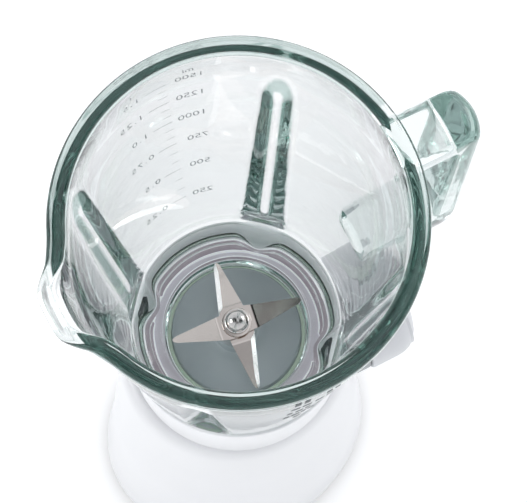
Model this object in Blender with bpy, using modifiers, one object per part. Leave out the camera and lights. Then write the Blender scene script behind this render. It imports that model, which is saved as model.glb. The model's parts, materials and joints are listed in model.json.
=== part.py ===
"""Countertop blender: a glass jug with its blade unit on a slim oval motor base.

Metres, +Z up, the foot of the base on z = 0. The handle points along +X, the pour spout along -X.
All driving dimensions are given in millimetres and turned into metres by MM.
"""

import math

import bmesh
import bpy
from mathutils import Matrix, Vector

MM = 0.001

# ---------------------------------------------------------------- driving dimensions, millimetres
DISC_Z = 212.0            # top of the blade holder's disc above the table
RIM_Z = 416.0             # top of the glass
RIM_R = 74.0              # outer radius of the rim
WALL_TAPER = 0.141        # growth of the outer radius per millimetre of height
WALL_T = 4.6              # glass thickness
RIM_T = 7.4               # thickness of the rounded rim
SPOUT_REACH = 83.0        # tip of the pour spout from the jug's axis
SPOUT_HALF_ANGLE = 20.0   # degrees
HANDLE_REACH = 104.0      # outermost face of the handle from the jug's axis
HANDLE_HALF_W = 11.5
FLUTE_ANGLE = 48.5        # degrees from the handle to the first of the four flutes
FLUTE_DEPTH = 4.0
FLUTE_HALF_W = 9.0
FLUTE_LOW_Z = DISC_Z + 16.0
FLUTE_HIGH_Z = DISC_Z + 166.0

GLASS_BOTTOM_Z = DISC_Z - 7.0
NECK_R = 44.3
COLLAR_LOW_Z = 176.8
COLLAR_HIGH_Z = DISC_Z + 12.5
DISC_R = 27.5

DECK_Z = 176.5            # top of the motor base
BASE_WALL = 2.6
BASE_SECTIONS = (         # height, half length along X, half width along Y
    (6.0, 61.0, 52.0),
    (22.0, 59.0, 50.6),
    (80.0, 55.5, 49.4),
    (128.0, 52.0, 48.0),
    (168.0, 51.5, 47.6),
    (174.5, 49.8, 46.2),
    (DECK_Z, 46.5, 43.2),
)
FOOT_H = 4.5
GLAND_Y = 51.4            # face of the cord gland's flange against the side wall
GLAND_Z = 34.0
KNOB_Z = 126.0
KNOB_R = 26.5
KNOB_FACE_X = 54.2        # back of the knob
KNOB_END_X = 82.0         # front of the knob's dome

SHAFT_R = 4.0
RUN_GAP = 0.08            # radial running clearance of a shaft in its bush
GAP = 0.3                 # gap between neighbouring solids
BLADE_T = 1.4
BLADE_TIP_R = 28.5
WING_ROOT_W = 6.3         # from the blade's middle line to its ground edge, at the root and at the tip
WING_TIP_W = 1.4
BLADE_ANGLE = -9.4        # degrees, of the upper blade at rest
AXIS_X = (SPOUT_REACH - HANDLE_REACH) / 2.0   # jug and motor axis, so that the whole is centred on X

ROUND = 28                # sides of a round part
FINE = 16                 # sides of a shaft or a bush

COLOURS = {               # colour, roughness, metallic
    "clear_glass": ((0.80, 0.88, 0.86), 0.03, 0.0),
    "white_plastic": ((0.86, 0.86, 0.85), 0.30, 0.0),
    "grey_plastic": ((0.42, 0.46, 0.48), 0.35, 0.0),
    "dark_plastic": ((0.06, 0.06, 0.065), 0.45, 0.0),
    "rubber": ((0.03, 0.03, 0.03), 0.80, 0.0),
    "silicone": ((0.55, 0.52, 0.50), 0.60, 0.0),
    "stainless": ((0.72, 0.69, 0.66), 0.22, 1.0),
    "steel": ((0.55, 0.55, 0.56), 0.40, 1.0),
    "lamination": ((0.30, 0.30, 0.31), 0.55, 1.0),
    "copper": ((0.72, 0.35, 0.16), 0.40, 1.0),
    "brass": ((0.78, 0.60, 0.30), 0.35, 1.0),
    "carbon": ((0.04, 0.04, 0.045), 0.60, 0.0),
}


# ---------------------------------------------------------------- scene and helpers
def clear_scene():
    for obj in list(bpy.data.objects):
        bpy.data.objects.remove(obj, do_unlink=True)
    for collection in list(bpy.data.collections):
        bpy.data.collections.remove(collection)


def new_collection(name):
    collection = bpy.data.collections.new(name)
    bpy.context.scene.collection.children.link(collection)
    return collection


clear_scene()
PARTS = new_collection("countertop_blender")
CUTTERS = new_collection("cutters")


def material(name):
    found = bpy.data.materials.get(name)
    if found:
        return found
    colour, roughness, metallic = COLOURS[name]
    made = bpy.data.materials.new(name)
    made.use_nodes = True
    shader = made.node_tree.nodes["Principled BSDF"]
    shader.inputs["Base Color"].default_value = (*colour, 1.0)
    shader.inputs["Roughness"].default_value = roughness
    shader.inputs["Metallic"].default_value = metallic
    if name == "clear_glass":
        shader.inputs["Transmission Weight"].default_value = 1.0
    made.diffuse_color = (*colour, 1.0)
    return made


def empty(name, x, y, z, parent=None):
    """An empty on a joint's axis, in millimetres of the world."""
    made = bpy.data.objects.new(name, None)
    made.empty_display_size = 0.02
    PARTS.objects.link(made)
    made.matrix_world = Matrix.Translation(Vector((x, y, z)) * MM)
    if parent:
        attach(made, parent)
    return made


def attach(obj, parent):
    bpy.context.view_layer.update()
    placed = obj.matrix_world.copy()
    obj.parent = parent
    obj.matrix_parent_inverse = parent.matrix_world.inverted()
    obj.matrix_world = placed


def finish_object(obj, mat, parent, angle=35.0):
    """Links a part to the collection, gives it its material and its parent and shades it smooth."""
    if obj.name not in PARTS.objects:
        PARTS.objects.link(obj)
    for other in list(obj.users_collection):
        if other is not PARTS:
            other.objects.unlink(obj)
    obj.data.materials.clear()
    obj.data.materials.append(material(mat))
    if obj.type == "MESH":
        obj.data.shade_smooth()
        obj.data.set_sharp_from_angle(angle=math.radians(angle))
    if parent:
        attach(obj, parent)
    return obj


def mesh_object(name, bm, at=(0.0, 0.0, 0.0), matrix=None):
    """An object from a bmesh that is drawn in millimetres; at is its origin in world millimetres."""
    bmesh.ops.recalc_face_normals(bm, faces=bm.faces)
    bmesh.ops.scale(bm, vec=(MM, MM, MM), verts=bm.verts)
    mesh = bpy.data.meshes.new(name)
    bm.to_mesh(mesh)
    bm.free()
    obj = bpy.data.objects.new(name, mesh)
    obj.matrix_world = matrix if matrix else Matrix.Translation(Vector(at) * MM)
    return obj


def turned(name, profile, at, mat, parent, steps=ROUND, axis="Z", ring=False):
    """A profile of (radius, height) pairs, top to bottom down its outer side, turned about an axis.

    A solid's profile starts and ends on the axis; ring=True closes the profile on itself.
    """
    bm = bmesh.new()
    points = [bm.verts.new((r * MM, 0.0, h * MM)) for r, h in profile]
    for a, b in zip(points, points[1:]):
        bm.edges.new((a, b))
    if ring:
        bm.edges.new((points[-1], points[0]))
    mesh = bpy.data.meshes.new(name)
    bm.to_mesh(mesh)
    bm.free()
    obj = bpy.data.objects.new(name, mesh)
    obj.matrix_world = Matrix.Translation(Vector(at) * MM)
    if axis == "X":
        obj.matrix_world = obj.matrix_world @ Matrix.Rotation(math.pi / 2, 4, "Y")
    if axis == "Y":
        obj.matrix_world = obj.matrix_world @ Matrix.Rotation(-math.pi / 2, 4, "X")
    screw = obj.modifiers.new("turn", "SCREW")
    screw.angle = 2 * math.pi
    screw.steps = steps
    screw.render_steps = steps
    screw.use_merge_vertices = True
    screw.merge_threshold = 0.00001
    screw.use_smooth_shade = True
    return finish_object(obj, mat, parent)


def tube(name, outer, inner, low, high, at, mat, parent, steps=ROUND):
    """A plain ring between two heights, in millimetres above at."""
    profile = [(inner, high), (outer, high), (outer, low), (inner, low)]
    return turned(name, profile, at, mat, parent, steps, ring=True)


def rod(name, radius, low, high, at, mat, parent, steps=FINE, axis="Z", chamfer=0.0):
    profile = [(0.0, high), (radius - chamfer, high)]
    if chamfer:
        profile += [(radius, high - chamfer), (radius, low + chamfer)]
    else:
        profile += [(radius, low)]
    if chamfer:
        profile.append((radius - chamfer, low))
    profile.append((0.0, low))
    return turned(name, profile, at, mat, parent, steps, axis)


def block(name, size, at, mat, parent, bevel=0.8, turn=0.0):
    """A bevelled box, centred at at."""
    bm = bmesh.new()
    bmesh.ops.create_cube(bm, size=1.0)
    bmesh.ops.scale(bm, vec=size, verts=bm.verts)
    place = Matrix.Translation(Vector(at) * MM) @ Matrix.Rotation(turn, 4, "Z")
    obj = mesh_object(name, bm, matrix=place)
    if bevel:
        rounding = obj.modifiers.new("edges", "BEVEL")
        rounding.width = bevel * MM
        rounding.segments = 2
    return finish_object(obj, mat, parent)


def outline_solid(name, outline, low, high, at, mat, parent):
    """A flat outline of (x, y) millimetres extruded between two heights above at."""
    bm = bmesh.new()
    base = [bm.verts.new((x, y, low)) for x, y in outline]
    face = bm.faces.new(base)
    grown = bmesh.ops.extrude_face_region(bm, geom=[face])
    raised = [item for item in grown["geom"] if isinstance(item, bmesh.types.BMVert)]
    bmesh.ops.translate(bm, vec=(0.0, 0.0, high - low), verts=raised)
    return finish_object(mesh_object(name, bm, at), mat, parent)


def loft(name, rings, at, mat, parent, closed=False):
    """A skin over rings of equally many points; closed joins last to first, else both are capped."""
    bm = bmesh.new()
    rows = [[bm.verts.new(point) for point in ring] for ring in rings]
    pairs = list(zip(rows, rows[1:]))
    if closed:
        pairs.append((rows[-1], rows[0]))
    count = len(rows[0])
    for lower, upper in pairs:
        for i in range(count):
            j = (i + 1) % count
            bm.faces.new((lower[i], lower[j], upper[j], upper[i]))
    if not closed:
        bm.faces.new(rows[0])
        bm.faces.new(rows[-1])
    return finish_object(mesh_object(name, bm, at), mat, parent)


def ellipse(half_x, half_y, z, count=36):
    turns = [2 * math.pi * i / count for i in range(count)]
    return [(half_x * math.cos(t), half_y * math.sin(t), z) for t in turns]


def cutter_box(name, size, at, turn=0.0):
    bm = bmesh.new()
    bmesh.ops.create_cube(bm, size=1.0)
    bmesh.ops.scale(bm, vec=size, verts=bm.verts)
    place = Matrix.Translation(Vector(at) * MM) @ Matrix.Rotation(turn, 4, "Z")
    return hide(mesh_object(name, bm, matrix=place))


def cutter_rod(name, radius, length, at, axis="Z"):
    """A cylinder centred at at, along Z, X or Y."""
    bm = bmesh.new()
    bmesh.ops.create_cone(bm, cap_ends=True, segments=FINE, radius1=radius, radius2=radius, depth=length)
    place = Matrix.Translation(Vector(at) * MM)
    if axis == "X":
        place = place @ Matrix.Rotation(math.pi / 2, 4, "Y")
    if axis == "Y":
        place = place @ Matrix.Rotation(-math.pi / 2, 4, "X")
    return hide(mesh_object(name, bm, matrix=place))


def hide(obj):
    CUTTERS.objects.link(obj)
    obj.hide_render = True
    obj.display_type = "WIRE"
    return obj


def combine(obj, other, operation="DIFFERENCE"):
    step = obj.modifiers.new(operation.lower(), "BOOLEAN")
    step.operation = operation
    step.solver = "EXACT"
    step.object = other
    return obj


def polar(radius, degrees):
    turn = math.radians(degrees)
    return radius * math.cos(turn), radius * math.sin(turn)


def smooth_step(value):
    value = min(1.0, max(0.0, value))
    return value * value * (3.0 - 2.0 * value)


# ---------------------------------------------------------------- the glass jug
def flute(theta, z):
    """How far the wall is pressed in at this angle and height, from 0 to 1."""
    nearest = (math.degrees(theta) - FLUTE_ANGLE) % 90.0
    offset = min(nearest, 90.0 - nearest)
    radius = RIM_R - WALL_TAPER * (RIM_Z - z)
    across = abs(math.radians(offset) * radius) / FLUTE_HALF_W
    if across >= 1.0:
        return 0.0
    along = smooth_step((z - FLUTE_LOW_Z) / 10.0) * smooth_step((FLUTE_HIGH_Z - z) / 12.0)
    return math.cos(across * math.pi / 2) ** 1.2 * along


def spout(theta, z):
    """How far the rim is drawn out at this angle and height, in millimetres."""
    offset = abs(abs(math.degrees(theta) % 360.0 - 180.0))
    if offset >= SPOUT_HALF_ANGLE:
        return 0.0
    across = 0.5 + 0.5 * math.cos(math.pi * offset / SPOUT_HALF_ANGLE)
    return (SPOUT_REACH - RIM_R) * across * smooth_step((z - (RIM_Z - 42.0)) / 42.0)


def jug_radius(base, theta, z, press):
    return base - press * flute(theta, z) + spout(theta, z)


def jug_ring(base, z, press, count=48):
    ring = []
    for i in range(count):
        theta = 2 * math.pi * i / count
        radius = jug_radius(base, theta, z, press)
        ring.append((radius * math.cos(theta), radius * math.sin(theta), z))
    return ring


def outer_radius(z):
    return min(RIM_R, RIM_R - WALL_TAPER * (RIM_Z - 4.0 - z))


def glass_rings():
    """From the neck's foot up the outside, over the rim and down the inside to the hole."""
    shoulder = DISC_Z + 13.0
    heights = [shoulder, shoulder + 4.0, shoulder + 12.0, 300.0, 352.0, 367.0, 382.0, 396.0, 406.0]
    rings = [jug_ring(NECK_R, GLASS_BOTTOM_Z, 0.0), jug_ring(NECK_R, shoulder, 0.0)]
    rings += [jug_ring(outer_radius(z), z, FLUTE_DEPTH) for z in heights]
    middle = RIM_R - RIM_T / 2
    for turn in (0, 45, 90, 135, 180):
        across, up = polar(RIM_T / 2, turn)
        rings.append(jug_ring(middle + across, RIM_Z - RIM_T / 2 + up, 0.0))
    inside = [z for z in reversed(heights) if z < 400.0 and z > shoulder]
    rings += [jug_ring(outer_radius(z) - WALL_T, z, FLUTE_DEPTH + 1.5) for z in inside]
    rings.append(jug_ring(40.4, DISC_Z + 9.0, 0.0))
    rings.append(jug_ring(36.4, DISC_Z + 4.5, 0.0))
    rings.append(jug_ring(31.7, DISC_Z + 2.5, 0.0))
    rings.append(jug_ring(28.9, DISC_Z - 0.5, 0.0))
    rings.append(jug_ring(28.9, GLASS_BOTTOM_Z, 0.0))
    return rings


def handle_outline():
    """The handle seen from the side, (radius, height): outer loop, then inner loop back."""
    outer = [(70.3, RIM_Z - 7.0), (98.0, RIM_Z - 8.0), (HANDLE_REACH, RIM_Z - 14.0)]
    outer += [(98.5, DISC_Z + 84.0), (95.0, DISC_Z + 74.0), (88.0, DISC_Z + 68.0), (55.0, DISC_Z + 66.0)]
    inner = [(56.0, DISC_Z + 81.0), (82.0, DISC_Z + 82.0), (85.5, DISC_Z + 88.0)]
    inner += [(91.5, RIM_Z - 27.0), (88.0, RIM_Z - 21.0), (70.3, RIM_Z - 20.0)]
    return outer + inner


def make_jug(parent):
    jug = loft("glass_jug", glass_rings(), (AXIS_X, 0.0, 0.0), "clear_glass", parent, closed=True)
    bm = bmesh.new()
    base = [bm.verts.new((x, -HANDLE_HALF_W, z)) for x, z in handle_outline()]
    face = bm.faces.new(base)
    grown = bmesh.ops.extrude_face_region(bm, geom=[face])
    raised = [item for item in grown["geom"] if isinstance(item, bmesh.types.BMVert)]
    bmesh.ops.translate(bm, vec=(0.0, 2 * HANDLE_HALF_W, 0.0), verts=raised)
    handle = hide(mesh_object("handle_loop", bm, (AXIS_X, 0.0, 0.0)))
    rounding = handle.modifiers.new("edges", "BEVEL")
    rounding.width = 2.2 * MM
    rounding.segments = 2
    combine(jug, handle, "UNION")
    return jug


# ---------------------------------------------------------------- what closes the jug's bottom
def make_blade_holder(parent):
    low, flange = DISC_Z - 12.0, GLASS_BOTTOM_Z - 2.6
    bore = 6.8
    profile = [(bore, DISC_Z + 5.5), (8.6, DISC_Z + 5.5), (9.4, DISC_Z + 4.5), (10.2, DISC_Z + 0.6)]
    profile += [(25.0, DISC_Z), (DISC_R, DISC_Z - 0.8), (DISC_R, flange), (41.8, flange), (41.8, low)]
    profile += [(14.0, low), (13.0, low - 2.5), (bore, low - 2.5)]
    turned("blade_holder", profile, (AXIS_X, 0, 0), "grey_plastic", parent, ring=True)
    lip = [(27.8, DISC_Z - 0.8), (28.6, DISC_Z - 0.8), (28.6, GLASS_BOTTOM_Z - GAP)]
    lip += [(43.0, GLASS_BOTTOM_Z - GAP), (43.0, flange + GAP), (27.8, flange + GAP)]
    turned("jug_gasket", lip, (AXIS_X, 0, 0), "silicone", parent, ring=True)
    inner = SHAFT_R + RUN_GAP + 0.05
    tube("lower_bush", bore - GAP, inner, low - 2.2, low + 4.0, (AXIS_X, 0, 0), "brass", parent, FINE)
    tube("upper_bush", bore - GAP, inner, DISC_Z - 5.0, DISC_Z + 1.2, (AXIS_X, 0, 0), "brass", parent, FINE)
    tube("shaft_seal", bore - GAP, inner, DISC_Z + 1.6, DISC_Z + 5.8, (AXIS_X, 0, 0), "rubber", parent, FINE)


def make_collar(parent):
    """The white ring that carries the glass and the blade holder, with four keys for the seat."""
    ledge_low, ledge_high = DISC_Z - 16.0, DISC_Z - 12.0 - GAP
    inner = NECK_R + 0.4
    profile = [(inner, COLLAR_HIGH_Z), (47.4, COLLAR_HIGH_Z), (48.5, COLLAR_HIGH_Z - 1.2)]
    profile += [(47.6, DISC_Z - 4.0), (46.0, COLLAR_LOW_Z + 2.0), (45.3, COLLAR_LOW_Z)]
    profile += [(42.8, COLLAR_LOW_Z), (42.8, ledge_low), (33.0, ledge_low)]
    profile += [(33.0, ledge_high), (inner, ledge_high)]
    collar = turned("jug_collar", profile, (AXIS_X, 0, 0), "white_plastic", parent, ring=True)
    for i in range(4):
        x, y = polar(41.4, 45.0 + 90.0 * i)
        at = (AXIS_X + x, y, COLLAR_LOW_Z + 4.6)
        key = cutter_box(f"collar_key_{i + 1}", (4.4, 7.0, 7.0), at, math.radians(45.0 + 90.0 * i))
        combine(collar, key, "UNION")


def star(outer, inner, lobes=6, turn=0.0):
    """The outline of a lobed coupling, as alternating lobes and valleys with flat crests."""
    points = []
    for i in range(lobes):
        start = 360.0 * i / lobes + turn
        for radius, offset in ((outer, -11.0), (outer, 11.0), (inner, 19.0), (inner, 41.0)):
            points.append(polar(radius, start + offset))
    return points


def make_blade_unit(parent):
    at = (AXIS_X, 0.0, 0.0)
    shaft_low, shaft_top = DISC_Z - 21.5, DISC_Z + 17.6
    rod("blade_shaft", SHAFT_R, shaft_low, shaft_top, at, "stainless", parent, chamfer=0.6)
    tube("shaft_sleeve", 6.6, SHAFT_R + GAP, DISC_Z + 6.2, DISC_Z + 13.0, at, "stainless", parent, FINE)
    make_blade("lower_blade", DISC_Z + 13.3, BLADE_ANGLE + 90.0, -4.0, parent)
    make_blade("upper_blade", DISC_Z + 13.3 + BLADE_T + GAP, BLADE_ANGLE, 5.0, parent)
    top = DISC_Z + 13.3 + 2 * BLADE_T + 2 * GAP
    tube("blade_washer", 6.2, SHAFT_R + GAP, top, top + 1.0, at, "stainless", parent, FINE)
    nut = [(0.0, top + 6.6), (2.4, top + 6.2), (4.2, top + 5.0), (5.2, top + 3.0), (5.2, top + 1.3)]
    nut += [(SHAFT_R + GAP, top + 1.3), (SHAFT_R + GAP, top + 3.6), (0.0, top + 3.6)]
    turned("dome_nut", nut, at, "stainless", parent, 24)
    clip = DISC_Z - 14.8
    tube("retaining_clip", 6.6, SHAFT_R + GAP, clip - 0.8, clip, at, "steel", parent, FINE)
    make_driven_coupling(parent, DISC_Z - 30.0, clip - 1.4)


def make_driven_coupling(parent, low, high):
    """The female half under the jug: a cup with six lobes cut into it, pressed on the blade shaft."""
    profile = [(0.0, high), (16.0, high), (17.0, high - 1.0), (17.0, low), (0.0, low)]
    cup = turned("driven_coupling", profile, (AXIS_X, 0, 0), "grey_plastic", parent, ROUND)
    bm = bmesh.new()
    face = bm.faces.new([bm.verts.new((x, y, low - 1.0)) for x, y in star(13.2, 9.4)])
    grown = bmesh.ops.extrude_face_region(bm, geom=[face])
    raised = [item for item in grown["geom"] if isinstance(item, bmesh.types.BMVert)]
    bmesh.ops.translate(bm, vec=(0.0, 0.0, 9.0), verts=raised)
    combine(cup, hide(mesh_object("coupling_star_cut", bm, (AXIS_X, 0, 0))))
    bore = cutter_rod("coupling_bore_cut", SHAFT_R + GAP, 20.0, (AXIS_X, 0.0, high))
    combine(cup, bore)


def wing_edges(x):
    """The two edges of a blade at x along it: the straight ground edge and the raked back of each wing."""
    if x < 0:
        low, high = wing_edges(-x)
        return -high, -low
    ground = WING_ROOT_W - (WING_ROOT_W - WING_TIP_W) * max(0.0, x - 5.0) / (BLADE_TIP_R - 5.0)
    back = 5.6 - 0.1 * x if x < 8.0 else 4.8 - 3.8 * (x - 8.0) / (BLADE_TIP_R - 8.0)
    return -back, ground


def make_blade(name, z, degrees, rise, parent):
    """One strip of steel with two wings that taper to a point and bend from the hub's plane by rise."""
    rings = []
    for x in (-BLADE_TIP_R, -18.0, -8.0, -4.0, 4.0, 8.0, 18.0, BLADE_TIP_R):
        low, high = wing_edges(x)
        foot = z + rise * max(0.0, abs(x) - 8.0) / (BLADE_TIP_R - 8.0)
        rings.append([(x, low, foot), (x, high, foot), (x, high, foot + BLADE_T), (x, low, foot + BLADE_T)])
    blade = loft(name, rings, (AXIS_X, 0.0, 0.0), "stainless", None)
    blade.matrix_world = blade.matrix_world @ Matrix.Rotation(math.radians(degrees), 4, "Z")
    combine(blade, cutter_rod(name + "_bore", SHAFT_R + GAP, 12.0, (AXIS_X, 0.0, z)))
    attach(blade, parent)


# ---------------------------------------------------------------- the motor base's casing
def make_housing(parent):
    rings = [ellipse(a, b, z) for z, a, b in BASE_SECTIONS]
    rings.append(ellipse(21.0, 21.0, DECK_Z))
    rings.append(ellipse(21.0, 21.0, DECK_Z - BASE_WALL))
    last = len(BASE_SECTIONS) - 1
    for index, (z, a, b) in reversed(list(enumerate(BASE_SECTIONS))):
        if index == last - 1:
            continue
        height = z - BASE_WALL if index == last else z
        rings.append(ellipse(a - BASE_WALL, b - BASE_WALL, height))
    housing = loft("upper_housing", rings, (AXIS_X, 0, 0), "white_plastic", parent, closed=True)
    combine(housing, cutter_rod("spindle_hole", 6.0, 20.0, (AXIS_X + 50.0, 0.0, KNOB_Z), "X"))
    combine(housing, cutter_rod("gland_hole", 6.3, 20.0, (AXIS_X, GLAND_Y, GLAND_Z), "Y"))


def make_seat(parent):
    """The raised ring on the deck that centres the jug's collar, with slots for the collar's keys."""
    low, high = DECK_Z + GAP, DECK_Z + 9.5
    profile = [(22.0, high - 1.5), (24.0, high), (40.5, high), (42.0, high - 1.5), (42.0, low), (22.0, low)]
    seat = turned("jug_seat", profile, (AXIS_X, 0, 0), "grey_plastic", parent, ring=True)
    for i in range(4):
        x, y = polar(42.0, 45.0 + 90.0 * i)
        at = (AXIS_X + x, y, high)
        combine(seat, cutter_box(f"seat_slot_{i + 1}", (7.2, 8.6, 24.0), at, math.radians(45.0 + 90.0 * i)))


FOOT_SPOTS = [(sx * 38.0, sy * 27.0) for sx in (-1, 1) for sy in (-1, 1)]
SCREW_SPOTS = [(sx * 47.0, sy * 13.0) for sx in (-1, 1) for sy in (-1, 1)]


def make_bottom(parent):
    low, high = 3.0, 5.7
    plate = loft("bottom_plate", [ellipse(60.0, 51.0, low), ellipse(60.6, 51.6, high)],
                 (AXIS_X, 0, 0), "dark_plastic", parent)
    for i in range(5):
        combine(plate, cutter_box(f"vent_{i + 1}", (3.4, 30.0, 9.0), (AXIS_X - 16.0 + 8.0 * i, 0.0, 4.0)))
    for i, (x, y) in enumerate(FOOT_SPOTS):
        combine(plate, cutter_rod(f"foot_pocket_{i + 1}", 7.4, 2.0, (AXIS_X + x, y, low)))
        foot = [(0.0, FOOT_H - 0.8), (7.0, FOOT_H - 0.8), (7.0, 0.8), (6.2, 0.0), (0.0, 0.0)]
        turned(f"foot_{i + 1}", foot, (AXIS_X + x, y, 0.0), "rubber", parent, 20)
    for i, (x, y) in enumerate(SCREW_SPOTS):
        combine(plate, cutter_rod(f"screw_hole_{i + 1}", 3.4, 12.0, (AXIS_X + x, y, 4.0)))
        head = [(0.0, 5.4), (3.0, 5.4), (3.0, 4.2), (2.2, 3.4), (0.0, 3.4)]
        stem = [(0.0, 16.0), (1.2, 15.0), (1.2, 5.4), (3.0, 5.4)] + head[2:]
        turned(f"housing_screw_{i + 1}", stem, (AXIS_X + x, y, 0.0), "steel", parent, 12)


def make_gland(parent):
    """The mains cord's outlet in the side wall: a grommet through the wall, and the clamp on the plate."""
    bore, sleeve, flange = 4.0, 6.2, 9.0
    inside, back, front, end = -8.0, -0.6, 4.0, 9.0
    profile = [(bore, end), (sleeve, end), (7.4, front), (flange, back), (sleeve, back), (sleeve, inside)]
    profile.append((bore, inside))
    turned("cord_gland", profile, (AXIS_X, GLAND_Y, GLAND_Z), "rubber", parent, FINE, "Y", ring=True)
    block("cord_clamp", (20.0, 7.0, 9.0), (AXIS_X - 24.0, 35.5, 10.5), "dark_plastic", parent)
    block("terminal_block", (10.0, 26.0, 8.0), (AXIS_X - 45.0, 0.0, 34.0), "grey_plastic", parent)


# ---------------------------------------------------------------- the motor
CORE_LOW, CORE_HIGH = 50.0, 96.0
BEARINGS = {"lower": 17.0, "upper": 119.0}   # heights of their lower faces
BOLT_Y = 40.2


def arc(radius, start, end, steps):
    return [polar(radius, start + (end - start) * i / steps) for i in range(steps + 1)]


def make_stator(parent):
    """A laminated yoke with two poles on +X and -X, the coils round the poles' necks."""
    at = (AXIS_X, 0.0, 0.0)
    profile = [(31.0, CORE_HIGH), (38.0, CORE_HIGH), (38.0, CORE_LOW), (31.0, CORE_LOW)]
    stator = turned("motor_stator", profile, at, "lamination", parent, ROUND, ring=True)
    for side, name in ((1.0, "right"), (-1.0, "left")):
        shoe = [(side * x, side * y) for x, y in arc(20.8, -50.0, 50.0, 8) + arc(23.4, 50.0, 20.0, 3)]
        shoe += [(side * 32.5, side * 8.5), (side * 32.5, side * -8.5)]
        shoe += [(side * x, side * y) for x, y in arc(23.4, -20.0, -50.0, 3)]
        bm = bmesh.new()
        face = bm.faces.new([bm.verts.new((x, y, CORE_LOW + 0.5)) for x, y in shoe])
        grown = bmesh.ops.extrude_face_region(bm, geom=[face])
        raised = [item for item in grown["geom"] if isinstance(item, bmesh.types.BMVert)]
        bmesh.ops.translate(bm, vec=(0.0, 0.0, CORE_HIGH - CORE_LOW - 1.0), verts=raised)
        combine(stator, hide(mesh_object(f"pole_{name}", bm, at)), "UNION")
        middle = (AXIS_X + side * 25.9, 0.0, (CORE_LOW + CORE_HIGH) / 2)
        coil = block(f"field_coil_{name}", (3.0, 28.0, 60.0), middle, "copper", parent, bevel=1.2)
        window = cutter_box(f"coil_window_{name}", (9.0, 18.4, CORE_HIGH - CORE_LOW + 1.0), middle)
        combine(coil, window)


def make_brackets(parent):
    at = (AXIS_X, 0.0, 0.0)
    for name, z in (("lower_bracket", 19.0), ("upper_bracket", 120.6)):
        bracket = block(name, (26.0, 86.0, 4.0), (AXIS_X, 0.0, z + 2.0), "steel", parent, bevel=1.0)
        combine(bracket, cutter_rod(name + "_pocket", 10.0, 12.0, (AXIS_X, 0.0, z)))
        for side in (1.0, -1.0):
            hole = cutter_rod(f"{name}_hole_{side:+.0f}", 2.2, 12.0, (AXIS_X, side * BOLT_Y, z + 2.0))
            combine(bracket, hole)
    for name, low in BEARINGS.items():
        inner = SHAFT_R + RUN_GAP + 0.05
        tube(f"{name}_bearing", 9.6, inner, low, low + 7.0, at, "steel", parent, FINE)
    for i, side in enumerate((1.0, -1.0)):
        place = (AXIS_X, side * BOLT_Y, 0.0)
        stem = [(0.0, 127.4), (3.2, 127.4), (3.2, 125.0), (1.8, 125.0), (1.8, 16.6), (0.0, 16.6)]
        turned(f"motor_bolt_{i + 1}", stem, place, "steel", parent, 12)


def make_mounts(parent):
    for i, (x, y) in enumerate([(sx * 9.0, sy * 32.0) for sx in (-1, 1) for sy in (-1, 1)]):
        profile = [(0.0, 18.7), (4.0, 18.7), (4.0, 15.0), (3.2, 12.5), (4.0, 10.0), (4.0, 6.0), (0.0, 6.0)]
        turned(f"motor_mount_{i + 1}", profile, (AXIS_X + x, y, 0.0), "rubber", parent, 16)


def make_brushes(parent):
    for side, name in ((1.0, "front"), (-1.0, "rear")):
        middle = (AXIS_X, side * 23.0, 111.9)
        holder = block(f"brush_holder_{name}", (11.0, 18.0, 16.6), middle, "brass", parent, bevel=0.6)
        combine(holder, cutter_box(f"brush_way_{name}", (6.6, 24.0, 8.6), (AXIS_X, side * 23.0, 109.0)))
        brush = (AXIS_X, side * 20.6, 109.0)
        block(f"carbon_brush_{name}", (6.0, 18.0, 8.0), brush, "carbon", parent, bevel=0.0)


def make_rotor(parent):
    at = (AXIS_X, 0.0, 0.0)
    rod("motor_shaft", SHAFT_R, 15.0, DECK_Z + 11.5, at, "steel", parent, chamfer=0.6)
    tube("armature_core", 20.0, SHAFT_R + GAP, CORE_LOW, CORE_HIGH, at, "lamination", parent)
    core = bpy.data.objects["armature_core"]
    slots = 8
    low, high = CORE_LOW - 6.0, CORE_HIGH + 5.0
    profile = [(7.0, high), (17.0, high), (17.0, CORE_HIGH + GAP), (7.0, CORE_HIGH + GAP)]
    winding = turned("armature_winding", profile, at, "copper", parent, ROUND, ring=True)
    profile = [(7.0, CORE_LOW - GAP), (17.0, CORE_LOW - GAP), (17.0, low), (7.0, low)]
    end_turn = turned("lower_end_turn", profile, at, "copper", None, ROUND, ring=True)
    PARTS.objects.unlink(end_turn)
    combine(winding, hide(end_turn), "UNION")
    for i in range(slots):
        degrees = 360.0 * i / slots + 22.5
        middle = (CORE_LOW + CORE_HIGH) / 2
        x, y = polar(15.5, degrees)
        turn = math.radians(degrees)
        size = (12.0, 3.6, CORE_HIGH - CORE_LOW + 6.0)
        combine(core, cutter_box(f"core_slot_{i + 1}", size, (AXIS_X + x, y, middle), turn))
        x, y = polar(13.6, degrees)
        size = (6.0, 2.8, CORE_HIGH - CORE_LOW + 3.0)
        bar = cutter_box(f"slot_bar_{i + 1}", size, (AXIS_X + x, y, middle), turn)
        combine(winding, bar, "UNION")
    tube("commutator", 11.3, SHAFT_R + GAP, 102.5, 116.0, at, "copper", parent, 24)
    make_fan(parent)
    low, high = DECK_Z + 3.8, DECK_Z + 11.2
    drive = outline_solid("drive_coupling", star(12.2, 8.4), low, high, at, "dark_plastic", parent)
    combine(drive, cutter_rod("drive_bore", SHAFT_R + GAP, 30.0, (AXIS_X, 0.0, DECK_Z + 8.0)))


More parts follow.
